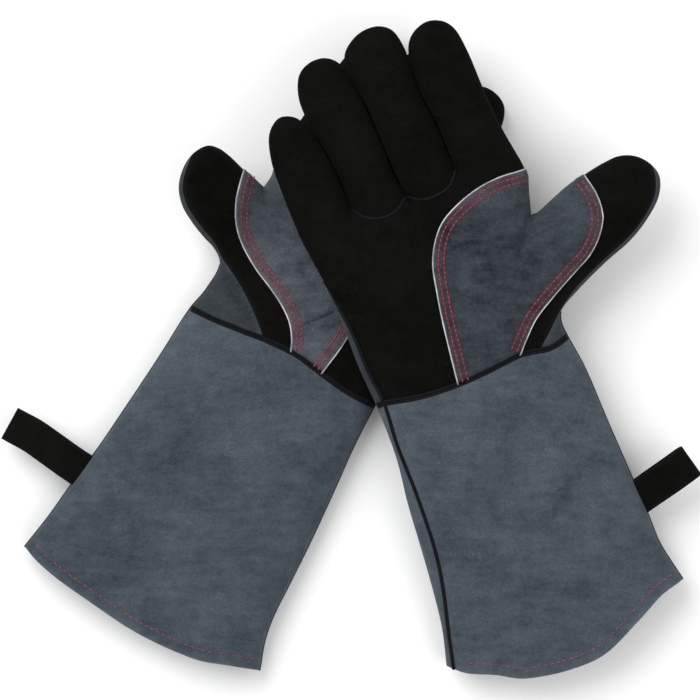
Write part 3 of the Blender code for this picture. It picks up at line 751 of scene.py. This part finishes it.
def suede(name, dark, light, worn, sheen, turn=0, specular=0.12):
    """Split leather: clouds of colour, a brushed nap, short fibres, and paler handled edges."""
    material, bsdf = shader(name, 0.93, sheen=sheen, sheen_roughness=0.42, specular=specular)
    n = Nodes(material)
    cloud = n.noise(26, 4, 0.6, distortion=0.4)
    blotch = n.noise(95, 4, 0.62, distortion=0.6)
    brush = n.noise(150, 3, 0.6, stretch=((0.35, 1.4, 1), turn))
    fibre = n.noise(1400, 3, 0.7, stretch=((0.6, 1.3, 1), turn + 20))
    grain = n.noise(420, 3, 0.6)
    tone = n.weigh((cloud, 0.40), (blotch, 0.25), (brush, 0.20), (grain, 0.15))
    colour = n.ramp(tone, dark, light, 0.36, 0.64)
    fibres = n.ramp(fibre, (0.50, 0.50, 0.50), (1.42, 1.42, 1.42), 0.3, 0.72)
    colour = n.mix(0.7, colour, fibres, "MULTIPLY")
    wear = n.new("ShaderNodeAttribute", attribute_name="wear").outputs["Fac"]
    patchy = n.math("MULTIPLY", wear, n.math("ADD", n.math("MULTIPLY", blotch, 1.2), -0.1))
    colour = n.mix(n.math("MULTIPLY", patchy, 0.8), colour, worn)
    n.link(colour, bsdf.inputs["Base Color"])
    n.link(n.math("ADD", n.math("MULTIPLY", blotch, 0.16), 0.84), bsdf.inputs["Roughness"])
    n.bump([(blotch, 0.5, 0.0014), (grain, 0.45, 0.0007), (fibre, 0.6, 0.0003)], bsdf)
    return material


def welt_leather():
    """Near black, smoother leather of the welts."""
    material, bsdf = shader("welt_leather", 0.75, sheen=0.01, specular=0.07)
    n = Nodes(material)
    grain = n.noise(600, 4, 0.6)
    wide = n.noise(70, 2)
    n.link(n.ramp(n.weigh((grain, 0.6), (wide, 0.4)), (0.003, 0.0032, 0.0036),
                  (0.009, 0.0095, 0.0105)), bsdf.inputs["Base Color"])
    n.bump([(grain, 0.5, 0.0004)], bsdf)
    return material


def piping_cord():
    """Pale woven cord, soiled in places."""
    material, bsdf = shader("piping_cord", 0.62, sheen=0.15, specular=0.35)
    n = Nodes(material)
    weave = n.noise(1600, 2, 0.6)
    soil = n.noise(60, 3, 0.6)
    colour = n.ramp(soil, (0.24, 0.25, 0.25), (0.62, 0.62, 0.60), 0.34, 0.62)
    n.link(n.mix(0.35, colour, n.ramp(weave, (0.6, 0.6, 0.6), (1.1, 1.1, 1.1)), "MULTIPLY"),
           bsdf.inputs["Base Color"])
    n.bump([(weave, 0.5, 0.0003)], bsdf)
    return material


def sewing_thread(name, low, high):
    """Twisted thread between two tones of one colour."""
    material, bsdf = shader(name, 0.6, sheen=0.05, specular=0.2)
    n = Nodes(material)
    twist = n.noise(2600, 2, 0.6, stretch=((1, 0.25, 1), 35))
    batch = n.noise(220, 2, 0.5)
    colour = n.ramp(batch, low, high, 0.3, 0.7)
    n.link(n.mix(0.5, colour, n.ramp(twist, (0.55, 0.55, 0.55), (1.2, 1.2, 1.2)), "MULTIPLY"),
           bsdf.inputs["Base Color"])
    n.bump([(twist, 0.6, 0.0002)], bsdf)
    return material


def cotton():
    """The napped lining."""
    material, bsdf = shader("cotton_lining", 0.95, sheen=0.4, specular=0.1)
    n = Nodes(material)
    pile = n.noise(900, 4, 0.7)
    wide = n.noise(60, 3)
    n.link(n.ramp(n.weigh((pile, 0.6), (wide, 0.4)), (0.16, 0.155, 0.145),
                  (0.36, 0.35, 0.33)), bsdf.inputs["Base Color"])
    n.bump([(wide, 0.3, 0.001), (pile, 0.7, 0.0006)], bsdf)
    return material


BLACK = suede("black_suede", (0.0022, 0.0022, 0.0018), (0.0058, 0.0058, 0.0050),
              (0.013, 0.013, 0.012), 0.01, specular=0.03)
GREY_RIGHT = suede("grey_suede_right", (0.030, 0.039, 0.050), (0.082, 0.100, 0.122),
                   (0.110, 0.130, 0.150), 0.06, 21)
GREY_LEFT = suede("grey_suede_left", (0.029, 0.038, 0.049), (0.078, 0.096, 0.118),
                  (0.105, 0.125, 0.145), 0.06, -28)
PATCH_RIGHT = suede("patch_suede_right", (0.009, 0.013, 0.017), (0.060, 0.072, 0.086),
                    (0.076, 0.088, 0.098), 0.05, 50)
PATCH_LEFT = suede("patch_suede_left", (0.024, 0.031, 0.039), (0.098, 0.114, 0.131),
                   (0.115, 0.130, 0.145), 0.05, -60)
BACK_HIDE = suede("hand_back_suede", (0.012, 0.016, 0.019), (0.041, 0.050, 0.058),
                  (0.064, 0.074, 0.083), 0.05, 10)
WELT, PIPING, COTTON = welt_leather(), piping_cord(), cotton()
RED = sewing_thread("red_thread", (0.22, 0.014, 0.030), (0.42, 0.034, 0.058))
ROSE = sewing_thread("rose_thread", (0.15, 0.045, 0.055), (0.30, 0.095, 0.105))


# ---- each glove's pieces


def settle(piece, glove, body, slot, *nodes, bent=None):
    """Rides a piece on its body, or, when bent places are given, leaves it fixed in the frame; and
    hides the imported parts that it stands for."""
    h = glove.name
    if bent is None:
        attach(piece, f"{h}_{body}")
    else:
        [glove.spot(*place) for place in bent]
        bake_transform(piece)
    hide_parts(*[f"{h}_{node}" for node in nodes])


def thumb_bend(glove):
    """Two places out along the thumb from its hinge."""
    near, far = 5, 25
    return glove.hinge + glove.outward * near, glove.hinge + glove.outward * far


def build_cuff(g, grey):
    """The cuff's two panels, with their hem turned in, its lining and the hem's stitches."""
    palm = ring(cut(g.hem, g.hem_seam, g.hem_thumb),
                cut(g.thumb_run, g.hem_thumb, g.thumb_wrist), g.wrist[::-1],
                cut(g.little_seam, g.wrist_little, g.hem_seam) if g.seamed
                else cut(g.little_run, g.out_wrist, g.hem_little))
    around = ring(g.hem, cut(g.thumb_run, g.hem_thumb, g.thumb_wrist), g.whole_wrist[::-1],
                  cut(g.little_run, g.out_wrist, g.hem_little))

    def turned(p):
        return -LEATHER - HEM_ADDED * (1 - ease((gap(p, [g.hem]) - HEM_REACH) / 2.5))

    piece = panel(g, "cuff_palm_leather", [(palm, PALM)], grey, inner=turned)
    settle(piece, g, "glove", "grey_suede", "cuff_palm_panel")
    back = [(around, BACK)]
    if g.seamed:
        lip = ring(cut(g.hem, g.hem_little, g.hem_seam),
                   cut(g.little_seam, g.hem_seam, g.wrist_little), g.wrist_lip[::-1],
                   cut(g.little_run, g.out_wrist, g.hem_little))
        back.append((lip, PALM))
    piece = panel(g, "cuff_back_leather", back, grey, inner=turned, step=2.6)
    settle(piece, g, "glove", "grey_suede", "cuff_back_panel")
    # the lining starts inside the turned hem
    start = np.array([0, LINING_START])
    left, right = on(g.little_run, g.hem_little + start), on(g.thumb_run, g.hem_thumb + start)
    line = g.hem[6:-6:8] + start
    setback = join(left, line, right, 2)
    tucked = ring(setback, cut(g.thumb_run, right, g.thumb_wrist), g.whole_wrist[::-1],
                  cut(g.little_run, g.out_wrist, left))
    piece = panel(g, "cuff_cotton", [(tucked, PALM), (tucked, BACK)], COTTON, step=3.2,
                  **LINING_SIDES)
    settle(piece, g, "glove", "lining", "cuff_lining")
    first = 9 if g.seamed else 3
    row = shift(g.hem, HEM_ROW)[first:-3]
    piece = stitches(g, "hem_stitches", [(row, 0.05)], ROSE, pitch=3.7, length=2.7, radius=0.38)
    settle(piece, g, "glove", "thread", "hem_thread")


def build_welts(g):
    """The dark cords in the side seams, round the wrist and at the fingers' bases."""
    if g.seamed:
        seam = g.lay(g.little_seam[:-3], PALM, 0.35)
        thin = SEAM_CORD * (0.3 + 0.7 * ease(np.arange(len(seam))[::-1] / 14))
        rest = cut(g.little_run, g.merge, g.little_base)[3:]
        rest = level(rest - across(rest) * 0.6)
        runs = [(seam, thin, False), (rest, SIDE_CORD, False)]
    else:
        little = cut(g.little_run, g.hem_little, g.little_base)
        runs = [(level(little - across(little) * 0.5), SIDE_CORD, False)]
    piece = strands(g, "little_side_cord", runs, WELT)
    settle(piece, g, "glove", "welt", "little_side_welt")
    thumb = cut(g.thumb_run, g.heel, g.hem_thumb)
    path = level(thumb - across(thumb) * 0.5)
    piece = strands(g, "thumb_side_cord", [(path, SIDE_CORD, False)], WELT)
    settle(piece, g, "glove", "welt", "thumb_side_welt")
    runs = []
    for off in (-WRIST_CORD, WRIST_CORD):
        moved = g.whole_wrist + across(g.whole_wrist) * off
        top, under = g.lay(moved, PALM, 0.25), g.lay(moved, BACK, 0.3)
        under[:, 2] = np.maximum(under[:, 2], g.ground(under[:, :2]) + WRIST_CORD)
        runs.append((np.vstack([top[1:-1], under[1:-1][::-1]]), WRIST_CORD, True))
    piece = strands(g, "wrist_cords", runs, WELT)
    settle(piece, g, "glove", "welt", "wrist_welt")
    path = g.lay(g.knuckle, PALM, 0.15)
    piece = strands(g, "finger_base_cord", [(path, BASE_CORD, False)], WELT)
    settle(piece, g, "glove", "welt", "finger_base_welt")


def build_hand(g, grey):
    """The palm, the hand's back with its strips round to the palm's side, and their linings."""
    if g.seamed:
        sides = [cut(g.little_run, g.little_base, g.merge),
                 cut(g.little_seam, g.merge, g.wrist_little)]
    else:
        sides = [cut(g.little_run, g.little_base, g.out_wrist)]
    bases = [g.index_line[::-1], g.knuckle[::-1], g.little_line[::-1]]
    palm = ring(cut(g.wrist, g.wrist_little, g.split[0]), g.split,
                cut(g.index_run, g.crotch, g.index_base), *bases, *sides)
    piece = panel(g, "palm_leather", [(palm, PALM)], BLACK, wear=0)
    settle(piece, g, "glove", "black_suede", "palm_panel")
    piece = panel(g, "palm_cotton", [(palm, PALM)], COTTON, step=4, **LINING_SIDES)
    settle(piece, g, "glove", "lining", "palm_lining")
    back = ring(g.whole_wrist, cut(g.thumb_run, g.thumb_wrist, g.heel), g.thumb_base,
                cut(g.index_run, g.crotch, g.index_base), *bases,
                cut(g.little_run, g.little_base, g.out_wrist))
    wrap = ring(cut(g.wrist, g.thumb_seam[0], g.thumb_wrist),
                cut(g.thumb_run, g.thumb_wrist, g.heel), g.bridge,
                cut(g.thumb_seam, g.seam_heel, g.thumb_seam[0]))
    parts = [(back, BACK), (wrap, PALM)]
    if g.seamed:
        parts.append((ring(g.wrist_lip, cut(g.little_seam, g.wrist_little, g.merge),
                           cut(g.little_run, g.merge, g.out_wrist)), PALM))
    piece = panel(g, "hand_back_leather", parts, grey, step=2.2)
    settle(piece, g, "glove", "grey_suede", "hand_back_panel")
    piece = panel(g, "back_cotton", [(back, BACK)], COTTON, step=4, **LINING_SIDES)
    settle(piece, g, "glove", "lining", "back_lining")


def build_fingers(g):
    """A front and a back for each finger; a digit has its outline, its base and its centre."""
    knuckle_ring = cut(g.knuckle, g.knuckle[0], g.valley)
    knuckle_middle = cut(g.knuckle, g.valley, g.knuckle[-1])
    digits = (
        ("little", cut(g.little_run, g.little_base, g.little_run[-1]), g.little_line[::-1], -50.5),
        ("ring", g.ring_run, knuckle_ring[::-1], -17.9),
        ("middle", g.middle_run, knuckle_middle[::-1], 15.0),
        ("index", cut(g.index_run, g.index_run[0], g.index_base), g.index_line[::-1], 49.4),
    )
    for name, outline, base, centre in digits:
        loop = ring(outline, base)[::-1]
        for face, word in ((PALM, "front"), (BACK, "back")):
            piece = panel(g, f"{name}_finger_{word}_leather", [(loop, face)], BLACK, wear=0)
            settle(piece, g, f"{name}_finger", "black_suede", f"{name}_finger_{word}",
                   bent=[(centre, v) for v in FINGER_BEND])


def build_thumb(g, grey):
    """The thumb's black front, and its grey back, whose rim comes round to the palm's side."""
    bent = thumb_bend(g)
    front = ring(cut(g.wrist, g.split[0], g.thumb_seam[0]), g.thumb_seam,
                 cut(g.thumb_run, g.tip, g.crotch), g.split[::-1])
    piece = panel(g, "thumb_front_leather", [(front, PALM)], BLACK)
    settle(piece, g, "thumb", "black_suede", "thumb_front", bent=bent)
    around = cut(g.thumb_run, g.heel, g.crotch)
    back = ring(around, g.thumb_base[::-1])
    rim = ring(cut(g.thumb_run, g.tip, g.heel), g.bridge, cut(g.thumb_seam, g.seam_heel, g.tip))
    piece = panel(g, "thumb_back_leather", [(back, BACK), (rim, PALM)], grey)
    settle(piece, g, "thumb", "grey_suede", "thumb_back", bent=bent)


def build_patch(g, grey):
    """The patch over the thumb's ball, with piping and two rows of stitches at each edge."""
    bent = thumb_bend(g)
    outline = ring(cut(g.wrist, g.patch_left[0], g.patch_right[0]), g.patch_right,
                   cut(g.thumb_run, g.patch_right[-1], g.crotch),
                   cut(g.index_run, g.crotch, g.patch_left[-1]), g.patch_left[::-1])
    rows_left = [shift(g.patch_left, -off)[1:-2] for off in PALM_ROWS]
    rows_right = [shift(g.patch_right, off)[1:-2] for off in THUMB_ROWS]
    rows = rows_left + rows_right
    lines = [g.patch_left, g.patch_right]

    def outer(p):
        # rolled at its edges, sunk under the stitches, puffed between them, flat at the wrist
        rolled = 0.45 + 0.55 * quarter(gap(p, lines) / 1.6)
        sunk = 0.28 * np.exp(-((gap(p, rows) / 0.9) ** 2))
        puffed = 0.35 * np.exp(-(((gap(p, lines) - 4.6) / 1.1) ** 2))
        pressed = ease((gap(p, [g.wrist]) - 1.0) / 2.6)
        full = PATCH * rolled * (0.3 + 0.7 * quarter(gap(p, g.edges) / 3)) - sunk + puffed
        return 0.3 + pressed * full

    piece = panel(g, "thumb_ball_patch", [(outline, PALM)], grey, outer=outer, inner=0.12,
                  step=1.3)
    settle(piece, g, "thumb", "grey_suede", "crotch_patch", "thumb_patch", bent=bent)
    cord = g.lay(g.patch_left, PALM, 0.8)
    piece = strands(g, "palm_edge_piping", [(cord, PIPING_CORD, False)], PIPING)
    settle(piece, g, "glove", "piping", "palm_piping")
    cord = g.lay(g.patch_right, PALM, 0.8)
    piece = strands(g, "thumb_edge_piping", [(cord, PIPING_CORD, False)], PIPING)
    settle(piece, g, "thumb", "piping", "heel_piping", "thumb_piping", bent=bent)
    piece = stitches(g, "palm_edge_stitches", [(r, PATCH + 0.12) for r in rows_left], RED)
    settle(piece, g, "glove", "thread", "palm_thread")
    piece = stitches(g, "thumb_edge_stitches", [(r, PATCH + 0.12) for r in rows_right], RED)
    settle(piece, g, "thumb", "thread", "thumb_thread", bent=bent)


def strap_stations(spine):
    """Stations round a folded strap: its centre, its side, its height, and how far along."""
    share, side = np.linspace(0, 1, len(spine)), across(spine)
    top = []
    for k in range(len(spine)):
        belly = 1.1 + 2.2 * math.sin(math.pi * min(share[k] / 1.06, 1) * 0.62)
        top.append((spine[k], side[k], belly, share[k]))
    ahead = spine[-1] - spine[-2]
    ahead /= np.linalg.norm(ahead)
    end, end_side, belly, _ = top[-1]
    fold = []
    for angle in np.radians(np.linspace(80, -80, 9)):
        centre = end + ahead * belly * 0.9 * math.cos(angle)
        fold.append((centre, end_side, belly * math.sin(angle), 1.0))
    return top + fold + [(c, s, -z, r) for c, s, z, r in top[::-1]]


def build_loop(g):
    """A strap folded on itself, its two ends sewn into the side seam."""
    columns, half_thick, worn = 9, 0.8, 0.8
    half, twist, sweep = (g.strap[key] for key in ("half", "twist", "sweep"))
    stations = strap_stations(bow(g.strap["spine"], 1))
    grid = []
    for c, s, z, r in stations:
        turn = math.radians(twist) * r
        for k in range(columns):
            t = (k / (columns - 1) * 2 - 1) * half
            dish = -0.5 * (t / half) ** 2 * (1 if z > 0 else -1)
            height = z + dish + sweep * math.sin(math.pi * r * 0.8) + t * math.sin(turn)
            height += 0.25 * noise.noise(Vector((t / 9, r * 3, z / 4 + g.seed)))
            grid.append((*(c + s * t * math.cos(turn)), height))
    points = np.array(grid)
    faces = []
    for i in range(len(stations) - 1):
        for k in range(columns - 1):
            a = i * columns + k
            faces += [(a, a + columns, a + columns + 1), (a, a + columns + 1, a + 1)]
    n = normals_of(points, faces)
    if n[:columns * 5, 2].mean() < 0:
        faces = [f[::-1] for f in faces]
        n = -n
    verts = np.vstack([points + n * half_thick, points - n * half_thick])
    rim = np.array([(k % columns in (0, columns - 1)) * worn for k in range(len(points))])
    piece = add_object(g, "hang_strap", verts, shell_of(faces, len(points)), BLACK,
                       wear=np.concatenate([rim, rim]))
    settle(piece, g, "hang_loop", "black_suede", "hang_loop")


for glove in gloves:
    cuff_hide, patch_hide = ((GREY_RIGHT, PATCH_RIGHT) if glove.side > 0
                             else (GREY_LEFT, PATCH_LEFT))
    build_cuff(glove, cuff_hide)
    build_welts(glove)
    build_hand(glove, BACK_HIDE)
    build_fingers(glove)
    build_thumb(glove, BACK_HIDE)
    build_patch(glove, patch_hide)
    build_loop(glove)


# ---- stage, light and camera


def build_stage():
    """A wide pale floor, just under the gloves."""
    bpy.ops.mesh.primitive_plane_add(size=6, location=(0, 0, -0.0005))
    floor = bpy.context.object
    floor.name = "floor"
    material, bsdf = shader("pale_floor", 0.9, specular=0.1)
    n = Nodes(material)
    n.link(n.ramp(n.noise(3, 2), (0.90, 0.90, 0.90), (0.93, 0.93, 0.93)),
           bsdf.inputs["Base Color"])
    floor.data.materials.append(material)


def light(name, place, size, power):
    """A soft round lamp that looks at the middle of the scene."""
    lamp = bpy.data.lights.new(name, "AREA")
    lamp.shape, lamp.size, lamp.energy = "DISK", size, power
    holder = bpy.data.objects.new(name, lamp)
    holder.location = place
    holder.rotation_euler = (-Vector(place)).to_track_quat("-Z", "Y").to_euler()
    bpy.context.scene.collection.objects.link(holder)


def build_camera():
    """A long lens straight above, as the frame of 0.42 m is seen from 3.8 m."""
    lens = bpy.data.cameras.new("camera")
    lens.sensor_width = 36
    height, width = 3.8, 0.42
    lens.lens = lens.sensor_width * height / width
    lens.clip_end = 20
    camera = bpy.data.objects.new("camera", lens)
    camera.location = (-0.0014, -0.0027, height)
    bpy.context.scene.collection.objects.link(camera)
    bpy.context.scene.camera = camera


def build_world(strength):
    """Even white light from all round."""
    world = bpy.data.worlds.new("soft_room")
    world.use_nodes = True
    sky = world.node_tree.nodes["Background"].inputs
    sky["Color"].default_value = (1, 1, 1, 1)
    sky["Strength"].default_value = strength
    bpy.context.scene.world = world


build_stage()
build_camera()
light("key", (-1.0, 1.0, 1.6), 1.9, 33)
light("fill", (1.3, -0.7, 1.6), 1.6, 9)
build_world(0.74)
bpy.context.scene.view_settings.view_transform = "Standard"
